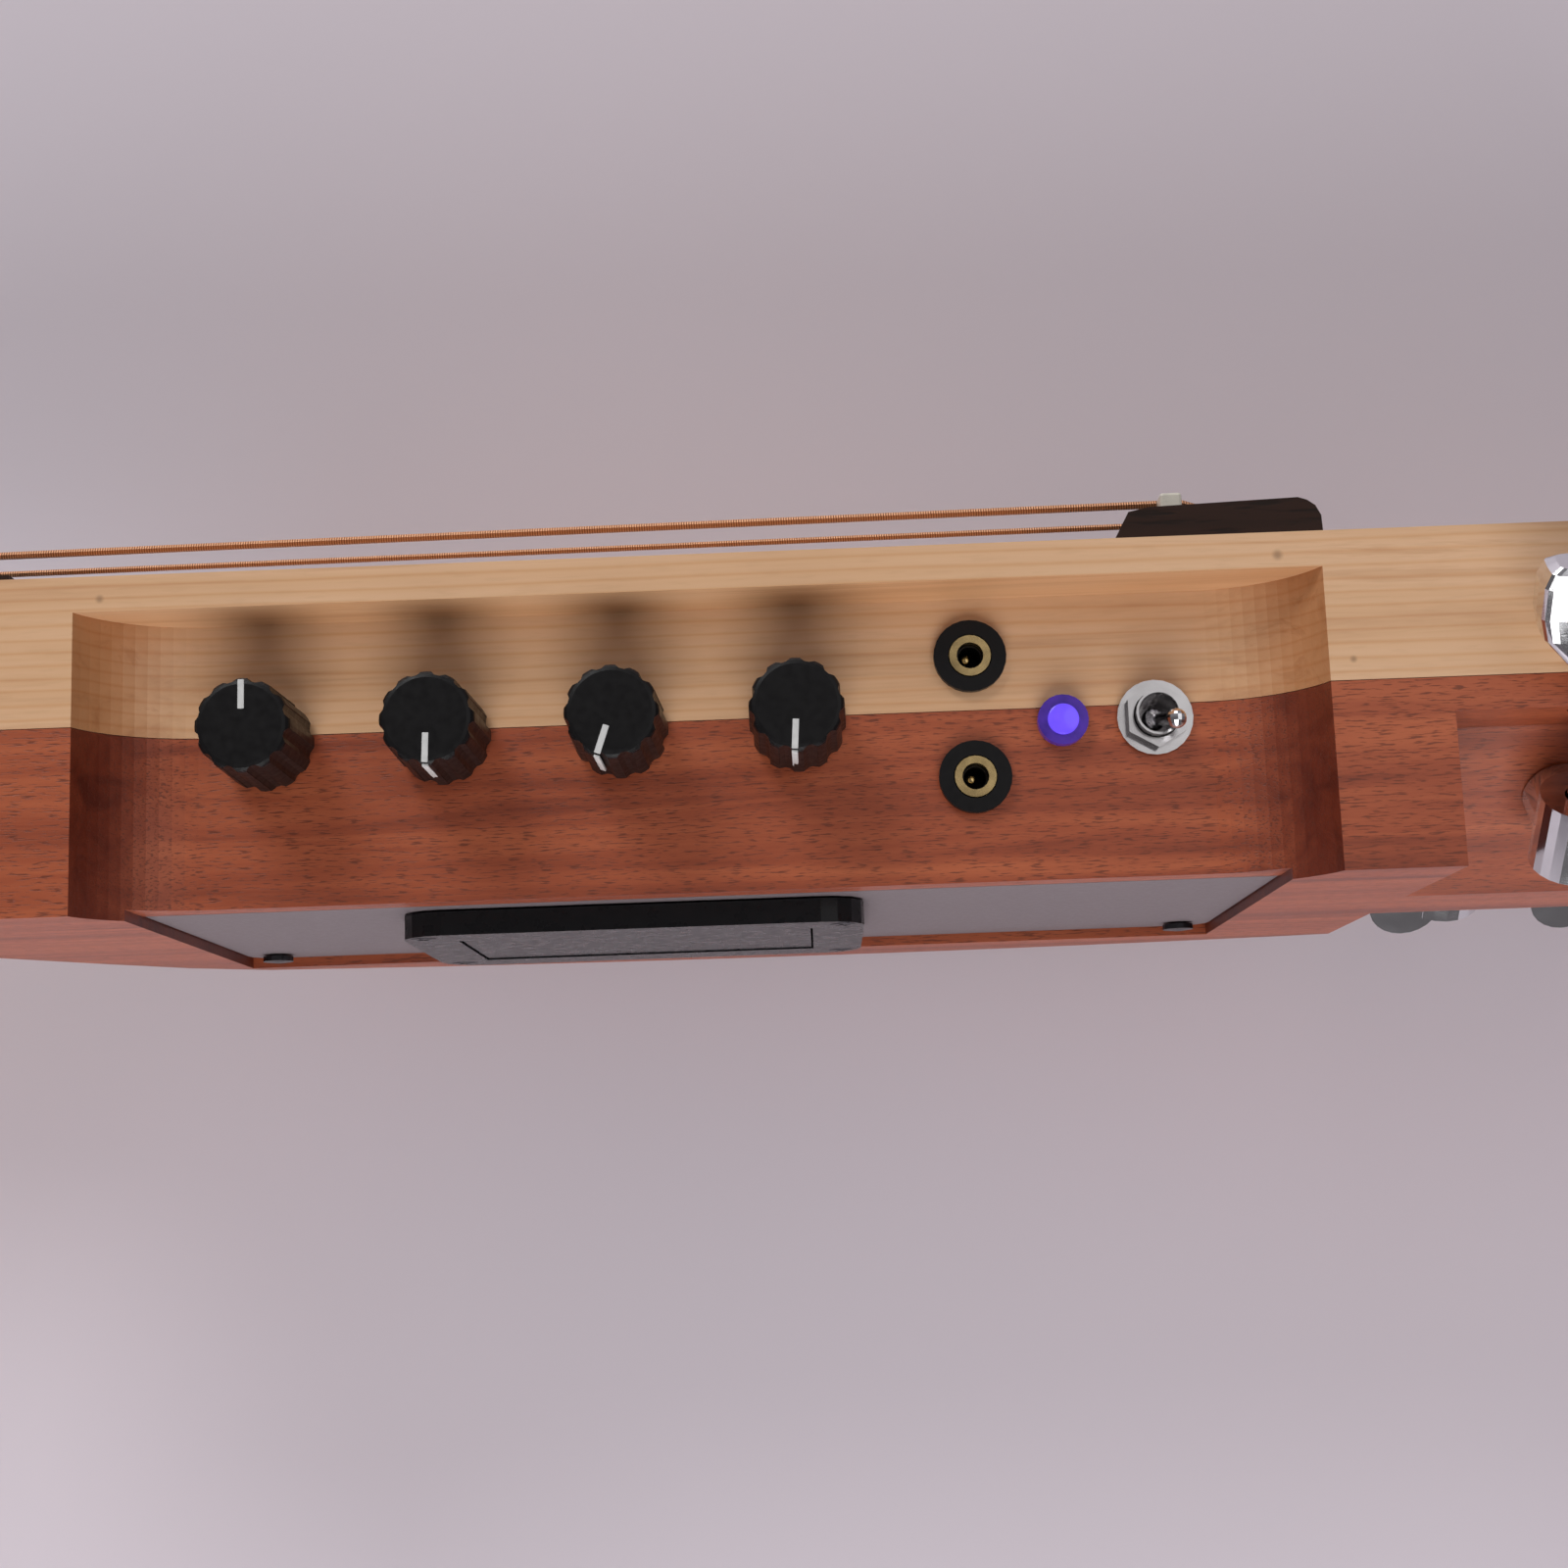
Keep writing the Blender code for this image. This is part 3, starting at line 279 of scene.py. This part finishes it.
def growth_lines(tree, before):
    """Thin darker lines along the board, where each year's growth ended."""
    at = add(tree, "ShaderNodeTexCoord").outputs["Object"]
    stretched = add(tree, "ShaderNodeMapping", {"Vector": at})
    stretched.inputs["Scale"].default_value = (0.06, 0.35, 1.0)
    years = add(tree, "ShaderNodeTexWave", {"Vector": stretched.outputs[0]}, wave_type="BANDS", bands_direction="Z",
                wave_profile="SAW", Scale=178.0, Distortion=2.6, Detail=2.0)
    years.inputs["Detail Scale"].default_value = 1.4
    line = ramp(tree, years.outputs["Fac"], (0.0, (0.93, 0.82, 0.70)), (0.18, (1.0, 1.0, 1.0)), (0.80, (0.99, 0.97, 0.95)),
                (1.0, (0.90, 0.76, 0.62)))
    mixed = add(tree, "ShaderNodeMix", data_type="RGBA", blend_type="MULTIPLY")
    mixed.inputs[0].default_value = 0.8
    tree.links.new(before, mixed.inputs[6])
    tree.links.new(line, mixed.inputs[7])
    return mixed.outputs[2]


def knots(tree, shader, before):
    at = add(tree, "ShaderNodeTexCoord").outputs["Object"]
    for x, y, z, size in KNOTS:
        away = add(tree, "ShaderNodeVectorMath", {0: at}, operation="DISTANCE")
        away.inputs[1].default_value = (x, y, z)
        near = add(tree, "ShaderNodeMapRange", {"Value": away.outputs["Value"]}, clamp=True, interpolation_type="SMOOTHSTEP")
        near.inputs["From Min"].default_value = size * 0.2
        near.inputs["From Max"].default_value = size * 2.2
        near.inputs["To Min"].default_value = 0.75
        near.inputs["To Max"].default_value = 0.0
        mixed = add(tree, "ShaderNodeMix", data_type="RGBA")
        tree.links.new(near.outputs[0], mixed.inputs[0])
        tree.links.new(before, mixed.inputs[6])
        mixed.inputs[7].default_value = (0.30, 0.17, 0.09, 1.0)
        before = mixed.outputs[2]
    tree.links.new(before, shader.inputs["Base Color"])


knots(maple_tree, maple_shader, growth_lines(maple_tree, maple_mix.outputs[2]))
MAHOGANY = wood("mahogany_lacquered", [(0.32, (0.20, 0.038, 0.015)), (0.48, (0.33, 0.070, 0.026)), (0.68, (0.45, 0.112, 0.042))],
                (0.10, 0.022, 0.010), 210.0, 4300.0, 0.72, 0.42, ends=(0.42, 0.30, 0.30))[0]
ROSEWOOD, _, rosewood_shader, _ = wood(
    "rosewood_oiled", [(0.3, (0.016, 0.007, 0.004)), (0.55, (0.036, 0.015, 0.009)), (0.75, (0.062, 0.027, 0.015))],
    (0.005, 0.003, 0.002), 110.0, 1300.0, 0.6, 0.50)
rosewood_shader.inputs["Specular IOR Level"].default_value = 0.25
print("woods:", MAPLE.name, MAHOGANY.name, ROSEWOOD.name)

# %% [markdown]
# ## Metals, plastics and small finishes
# Each finish is one colour with a low and a high gloss value. Moulded black is given less surface
# reflection than bare plastic, because finger grease and fine texture break the mirror up.

# %% Metals, plastics and the rest
CHROME = finish_of("chrome_plated", (0.74, 0.74, 0.76), 0.06, 0.14, 260, 1.0, 0.03)
STEEL = finish_of("steel_plain", (0.50, 0.50, 0.51), 0.25, 0.4, 700, 1.0, 0.06)
BRASS = finish_of("brass_polished", (0.82, 0.60, 0.27), 0.14, 0.26, 500, 1.0, 0.08)
SCREW_BLACK = finish_of("screw_blackened", (0.06, 0.06, 0.065), 0.25, 0.4, 700, 1.0)
FRET_METAL = finish_of("nickel_silver", (0.62, 0.60, 0.56), 0.12, 0.25, 600, 1.0, 0.05)
NICKEL = finish_of("nickel_worn", (0.60, 0.58, 0.58), 0.14, 0.26, 300, 1.0, 0.05)
BLACK = finish_of("black_moulded", (0.0055, 0.0050, 0.0053), 0.34, 0.48, 900)
BLACK.node_tree.nodes["Principled BSDF"].inputs["Specular IOR Level"].default_value = 0.22
BEZEL = finish_of("black_gloss", (0.008, 0.008, 0.009), 0.24, 0.34, 500)
BEZEL.node_tree.nodes["Principled BSDF"].inputs["Specular IOR Level"].default_value = 0.20
PLATE_GREY = finish_of("grey_matt_plate", (0.185, 0.150, 0.160), 0.5, 0.65, 1500, 0.0, 0.08, 0.00004)
WHITE_LINE = finish_of("white_paint", (0.62, 0.62, 0.61), 0.4, 0.55, 900)
BONE = finish_of("bone_polished", (0.80, 0.75, 0.64), 0.25, 0.4, 400, 0.0, 0.06)
BOARD_GREEN = finish_of("solder_mask", (0.01, 0.10, 0.04), 0.3, 0.45, 800, 0.0, 0.2)
CELL_SKIN = finish_of("battery_sleeve", (0.03, 0.03, 0.035), 0.3, 0.4, 400, 0.5, 0.3)
PEARL = finish_of("pearl_inlay", (0.70, 0.69, 0.66), 0.15, 0.3, 700, 0.1, 0.2)


def wound_bronze():
    skin, tree, shader = new_skin("wound_bronze")
    at = add(tree, "ShaderNodeTexCoord").outputs["Object"]
    turns = add(tree, "ShaderNodeTexWave", {"Vector": at}, wave_type="BANDS", bands_direction="X", Scale=900.0)
    marks = place_group(tree, MARKS, Scale=400.0, Gloss_Low=0.25, Gloss_High=0.4)
    # The colour goes darker where the wave is low, in the grooves between the turns of the winding: this is painted
    # shade, laid on top of the bump that the same wave gives.
    tree.links.new(ramp(tree, turns.outputs["Fac"], (0.1, (0.24, 0.10, 0.05)), (0.6, (0.62, 0.33, 0.19))), shader.inputs["Base Color"])
    tree.links.new(marks.outputs["Roughness"], shader.inputs["Roughness"])
    shader.inputs["Metallic"].default_value = 1.0
    bump(tree, shader, turns.outputs["Fac"], 0.5, 0.00008)
    return skin


def violet_lens(name, glow, strength):
    skin, tree, shader = new_skin(name)
    marks = place_group(tree, MARKS, Scale=500.0, Gloss_Low=0.12, Gloss_High=0.25)
    tree.links.new(ramp(tree, marks.outputs["Cloud"], (0.3, (0.030, 0.010, 0.16)), (0.7, (0.065, 0.020, 0.30))), shader.inputs["Base Color"])
    tree.links.new(marks.outputs["Roughness"], shader.inputs["Roughness"])
    shader.inputs["Emission Color"].default_value = (*glow, 1.0)
    shader.inputs["Emission Strength"].default_value = strength
    return skin


BRONZE = wound_bronze()
LENS = violet_lens("violet_lens", (0.10, 0.02, 0.60), 0.12)
LENS_CORE = violet_lens("violet_core", (0.16, 0.09, 1.0), 0.85)
print("materials:", len(bpy.data.materials))

# %% [markdown]
# ## Painting the loaded parts
# Each loaded part keeps its shape and only changes its skin, by a rule on its name.

# %% Skins for the loaded parts
RULES = (("neck_through", MAPLE), ("body_block", MAHOGANY), ("fretboard", ROSEWOOD), ("bridge", ROSEWOOD),
         ("nut", BONE), ("saddle", BONE), ("string_1", STEEL), ("string_2", STEEL), ("string_", BRONZE),
         ("back_plate", PLATE_GREY), ("plate_screw", SCREW_BLACK), ("battery_box", BEZEL), ("battery_door", BEZEL),
         ("battery", CELL_SKIN), ("knob_", BLACK), ("jack_washer", BLACK), ("jack_", BRASS), ("power_led", LENS),
         ("preamp_board", BOARD_GREEN), ("pot_", STEEL), ("piezo_strip", STEEL), ("truss_rod", STEEL),
         ("toggle_lever", CHROME), ("toggle_", NICKEL), ("tuner_", CHROME), ("strap_", CHROME), ("head_anchor", CHROME))


def skin_for(name):
    return next(skin for start, skin in RULES if name.startswith(start))


for name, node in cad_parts.items():
    node.data.materials.clear()
    node.data.materials.append(skin_for(name))
print("painted", len(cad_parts), "loaded parts")

# %% [markdown]
# ## Frets
# A fret is a bead of nickel silver pressed into a slot. A cylinder is laid across the board and its
# lower half is cut away with bisect, which also closes the cut, so only the crown stands on the board.

# %% Frets
SCALE_LENGTH = 0.648
SCALE_END = box_of("nut")[1].x + 0.0003 + SCALE_LENGTH
board_low, board_high, board_middle = box_of("fretboard")
BOARD_SURFACE = board_high.z - 0.001
CROWN = 0.00125


def half_width(x):
    """Half the board's width, which grows evenly from the nut to the body end."""
    share = (x - SCALE_END + SCALE_LENGTH) / (SCALE_LENGTH * 0.75)
    return (0.042 + 0.0145 * share) / 2


def fret(number):
    x = SCALE_END - SCALE_LENGTH * 2 ** (-number / 12)
    nothing_selected()
    bpy.ops.mesh.primitive_cylinder_add(vertices=24, radius=CROWN, depth=2 * half_width(x) - 0.001,
                                        location=(x, 0, BOARD_SURFACE + 0.0011 - CROWN), rotation=(math.pi / 2, 0, 0))
    bar = bpy.context.object
    bpy.ops.object.transform_apply(location=True, rotation=True, scale=True)
    edit_all()
    bpy.ops.mesh.bisect(plane_co=(x, 0, BOARD_SURFACE - 0.0001), plane_no=(0, 0, 1), use_fill=True, clear_inner=True)
    bpy.ops.object.mode_set(mode="OBJECT")
    return settle(bar, "fret_crown_%d" % number, "guitar", FRET_METAL)


for number in range(1, 25):
    fret(number)
print("frets: 24")

# %% [markdown]
# ## Round inlays
# The dots between the frets are thin pearl discs with a softened edge, level with the board.

# %% Inlays
INLAYS = ((3, 0.0), (5, 0.0), (7, 0.0), (9, 0.0), (12, -0.009), (12, 0.009), (15, 0.0), (17, 0.0), (19, 0.0), (21, 0.0),
          (24, -0.011), (24, 0.011))


def disc(name, radius, depth, centre, direction, body, skin, vertices=24, edge=0.0002):
    """A low disc with a beveled rim, whose far face lies at centre + direction * depth / 2."""
    nothing_selected()
    bpy.ops.mesh.primitive_cylinder_add(vertices=vertices, radius=radius, depth=depth)
    piece = bpy.context.object
    edit_all()
    bpy.ops.mesh.bevel(offset=edge, segments=2, affect="EDGES")
    bpy.ops.object.mode_set(mode="OBJECT")
    turn_to(piece, direction, centre)
    return settle(piece, name, body, skin)


for index, (number, side) in enumerate(INLAYS):
    first = SCALE_END - SCALE_LENGTH * 2 ** (-number / 12)
    before = SCALE_END - SCALE_LENGTH * 2 ** (-(number - 1) / 12)
    disc("inlay_%d" % (index + 1), 0.0028 if number < 20 else 0.0022, 0.0008, ((first + before) / 2, side, BOARD_SURFACE - 0.00035),
         (0, 0, 1), "guitar", PEARL)
print("inlays:", len(INLAYS))

# %% [markdown]
# ## Screws with a crossed recess
# A pan screw starts as a cylinder with a domed edge. Two crossed bars are cut out of its head with a
# Boolean modifier, which is then applied, so that the recess is real and catches shade.

# %% Crossed screws


def crossed_screw(name, radius, depth, centre, direction, body, skin):
    nothing_selected()
    bpy.ops.mesh.primitive_cylinder_add(vertices=28, radius=radius, depth=depth)
    head = bpy.context.object
    edit_all()
    bpy.ops.mesh.bevel(offset=min(radius, depth) * 0.3, segments=3, affect="EDGES")
    bpy.ops.object.mode_set(mode="OBJECT")
    for turn in (0, math.pi / 2):
        bpy.ops.object.select_all(action="DESELECT")
        bpy.ops.mesh.primitive_cube_add(size=1, location=(0, 0, depth / 2), rotation=(0, 0, turn + 0.4))
        bar = bpy.context.object
        bar.scale = (radius * 1.2, radius * 0.26, depth * 0.9)
        bpy.ops.object.transform_apply(location=True, rotation=True, scale=True)
        bpy.ops.object.select_all(action="DESELECT")
        head.select_set(True)
        bpy.context.view_layer.objects.active = head
        cut = head.modifiers.new("recess", "BOOLEAN")
        cut.object = bar
        cut.solver = "EXACT"
        bpy.ops.object.modifier_apply(modifier=cut.name)
        bpy.data.objects.remove(bar)
    head.select_set(True)
    bpy.context.view_layer.objects.active = head
    turn_to(head, direction, centre)
    return settle(head, name, body, skin)


box_low, box_high, box_middle = box_of("battery_box")
for index, (sx, sy) in enumerate(((-1, -1), (1, -1), (1, 1), (-1, 1))):
    crossed_screw("bezel_screw_%d" % (index + 1), 0.0019, 0.0008,
                  (box_middle.x + sx * 0.029, box_middle.y + sy * 0.0185, -0.0000 + 0.0003), (0, 0, -1), "guitar", SCREW_BLACK)
print("screws: 4")

# %% [markdown]
# ## Knob pointers
# Each knob shows a white line on its face. On three of them it also runs down the side. A small bar is
# laid at twelve o'clock and then turned clockwise about the knob's own axis.

# %% Pointers
POINTER_TURN = (0.0, 182.0, 199.0, 184.0)
SIDE_LENGTH = (0.0, 0.0098, 0.0098, 0.0098)


def painted_bar(name, low, high, turn, centre, body):
    """A thin bar of paint near a knob, turned clockwise about the knob's axis as seen from outside."""
    nothing_selected()
    bpy.ops.mesh.primitive_cube_add(size=1, location=[(a + b) / 2 for a, b in zip(low, high)])
    bar = bpy.context.object
    bar.scale = [b - a for a, b in zip(low, high)]
    bpy.ops.object.transform_apply(location=True, rotation=True, scale=True)
    edit_all()
    bpy.ops.mesh.bevel(offset=0.00008, segments=2, affect="EDGES")
    bpy.ops.object.mode_set(mode="OBJECT")
    bar.data.transform(Matrix.Rotation(math.radians(turn), 4, "Y"))
    bar.location = centre
    return settle(bar, name, body, WHITE_LINE)


for index, degrees in enumerate(POINTER_TURN):
    low, high, middle = box_of("knob_%d" % (index + 1))
    centre = Vector((middle.x, low.y, middle.z))
    body = "volume_and_tone_%d" % (index + 1)
    painted_bar("knob_line_%d" % (index + 1), (-0.00042, -0.0001, 0.0020), (0.00042, 0.0002, 0.00585), degrees, centre, body)
    if SIDE_LENGTH[index]:
        painted_bar("knob_side_line_%d" % (index + 1), (-0.0004, 0.0004, 0.0060), (0.0004, 0.0004 + SIDE_LENGTH[index], 0.00635),
                    degrees, centre, body)
print("pointers on 4 knobs")

# %% [markdown]
# ## The light's bright core and the socket contacts
# The lamp shows a violet rim and a brighter middle. In each socket a small contact catches the light.

# %% Core and contacts
led_low, led_high, led_middle = box_of("power_led")
disc("light_core", 0.0021, 0.0008, (led_middle.x, led_low.y - 0.0001, led_middle.z), (0, -1, 0), "guitar", LENS_CORE)
for index in (1, 2):
    low, high, middle = box_of("jack_%d" % index)
    nothing_selected()
    bpy.ops.mesh.primitive_cylinder_add(vertices=32, radius=0.00172, depth=0.0070)
    lining = bpy.context.object
    edit_all()
    bpy.ops.mesh.bisect(plane_co=(0, 0, 0.0030), plane_no=(0, 0, 1), clear_outer=True)
    bpy.ops.object.mode_set(mode="OBJECT")
    wall = lining.modifiers.new("wall", "SOLIDIFY")
    wall.thickness = 0.0002
    wall.offset = -1
    bpy.ops.object.modifier_apply(modifier=wall.name)
    turn_to(lining, (0, -1, 0), (middle.x, -0.0297, middle.z))
    settle(lining, "socket_lining_%d" % index, "guitar", BLACK)
    disc("socket_contact_%d" % index, 0.0006, 0.0012, (middle.x - 0.0004, -0.0300, middle.z + 0.0002), (0, -1, 0), "guitar",
         BRASS, 16)
print("core and contacts added")

# %% [markdown]
# ## Camera
# The camera sits in front of the bass side and a little below the back, and looks slightly up. Its
# three axes were found by fitting the straight edges of the guitar in the photograph.

# %% Camera
camera_data = bpy.data.cameras.new("camera")
camera = bpy.data.objects.new("camera", camera_data)
bpy.context.scene.collection.objects.link(camera)
camera_data.lens = 54.0
camera_data.sensor_width = 36.0
camera_data.clip_start = 0.01
camera_data.shift_y = 1.5 / 1600
RIGHT = Vector((0.9992751, 0.01643823, -0.0343374))
DOWN = Vector((-0.03657347, 0.16417685, -0.98575268))
FORWARD = Vector((-0.01056663, 0.98629395, 0.16465904))
place_of_camera = Vector((SCALE_END - 0.048, -0.344, -0.0343))
axes = Matrix((RIGHT, -DOWN, -FORWARD)).transposed().to_4x4()
camera.matrix_world = Matrix.Translation(place_of_camera) @ axes
bpy.context.scene.camera = camera
print("camera", round((place_of_camera - Vector((SCALE_END, -0.044, 0.02))).length * 1000), "mm from the bridge's side")

# %% [markdown]
# ## Floor, background and light
# In the photograph the guitar stands on its treble edge on a pale table, and the table fills the picture
# behind it. That table is a plane that touches the treble side. A second floor lies under the back, for
# looks from above. Both are one-sided: from behind they let light and sight through.

# %% Floors


def one_sided(name, colour, lets_light_through):
    skin, tree, shader = new_skin(name)
    cloud = place_group(tree, MARKS, Scale=3.0, Gloss_Low=0.75, Gloss_High=0.9)
    darker = tuple(c * 0.97 for c in colour)
    tree.links.new(ramp(tree, cloud.outputs["Cloud"], (0.35, darker), (0.65, colour)), shader.inputs["Base Color"])
    tree.links.new(cloud.outputs["Roughness"], shader.inputs["Roughness"])
    hidden = add(tree, "ShaderNodeNewGeometry").outputs["Backfacing"]
    if lets_light_through:
        path = add(tree, "ShaderNodeLightPath")
        other = add(tree, "ShaderNodeMath", {1: path.outputs["Is Camera Ray"]}, operation="SUBTRACT")
        other.inputs[0].default_value = 1.0
        hidden = add(tree, "ShaderNodeMath", {0: hidden, 1: other.outputs[0]}, operation="MAXIMUM").outputs[0]
    clear = add(tree, "ShaderNodeBsdfTransparent")
    shown = add(tree, "ShaderNodeMixShader", {0: hidden, 1: shader.outputs[0], 2: clear.outputs[0]})
    tree.links.new(shown.outputs[0], tree.nodes["Material Output"].inputs["Surface"])
    return skin


def stage_plane(name, location, rotation, skin):
    nothing_selected()
    bpy.ops.mesh.primitive_plane_add(size=6, location=location, rotation=rotation)
    plane = bpy.context.object
    plane.name = name
    plane.data.materials.append(skin)
    plane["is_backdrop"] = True


stage_plane("table", (0, cad_high.y + 0.0003, 0), (math.pi / 2, 0, 0), one_sided("pale_table", (0.76, 0.69, 0.755), False))
stage_plane("floor", (0, 0, -0.0003), (0, 0, 0), one_sided("pale_floor", (0.66, 0.63, 0.66), True))

# %% [markdown]
# ## Room and lamps
# A plain room colour gives metal something to mirror, a little darker on the camera's side. Four large
# soft lamps stand for a window and the pale walls round it, and one of them lifts the underside.

# %% World and lamps
world = bpy.data.worlds.new("studio")
bpy.context.scene.world = world
world.use_nodes = True
sky = world.node_tree
backing = sky.nodes["Background"]
way = add(sky, "ShaderNodeTexCoord").outputs["Generated"]
height_part = add(sky, "ShaderNodeSeparateXYZ", {0: way})
room = ramp(sky, height_part.outputs["Z"], (0.0, (0.42, 0.40, 0.41)), (0.55, (0.74, 0.72, 0.75)), (1.0, (0.87, 0.86, 0.88)))
front = ramp(sky, height_part.outputs["Y"], (0.05, (0.56, 0.55, 0.56)), (0.50, (1.0, 1.0, 1.0)))
shaded = add(sky, "ShaderNodeMix", data_type="RGBA", blend_type="MULTIPLY")
shaded.inputs[0].default_value = 1.0
sky.links.new(room, shaded.inputs[6])
sky.links.new(front, shaded.inputs[7])
sky.links.new(shaded.outputs[2], backing.inputs["Color"])
backing.inputs["Strength"].default_value = 0.55


def lamp(name, place, target, size, power):
    data = bpy.data.lights.new(name, "AREA")
    data.shape = "DISK"
    data.size = size
    data.energy = power
    holder = bpy.data.objects.new(name, data)
    bpy.context.scene.collection.objects.link(holder)
    holder.location = place
    holder.rotation_mode = "QUATERNION"
    holder.rotation_quaternion = (Vector(target) - Vector(place)).to_track_quat("-Z", "Y")


lamp("key", (-0.35, -0.95, 1.05), (0.20, -0.02, 0.03), 0.6, 7.0)
lamp("fill", (0.8, -1.1, 0.25), (0.2, -0.03, 0.02), 0.9, 1.6)
lamp("under", (0.20, -0.62, -0.95), (0.20, 0.0, -0.02), 1.0, 10.0)
lamp("over", (0.0, -0.2, 1.3), (0.0, 0.0, 0.0), 1.0, 4.0)
bpy.context.scene.view_settings.view_transform = "Standard"

# %% Sizes and finish
low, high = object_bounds()
print("shown box in mm:", [round(v * 1000, 1) for v in (*low, *high)])
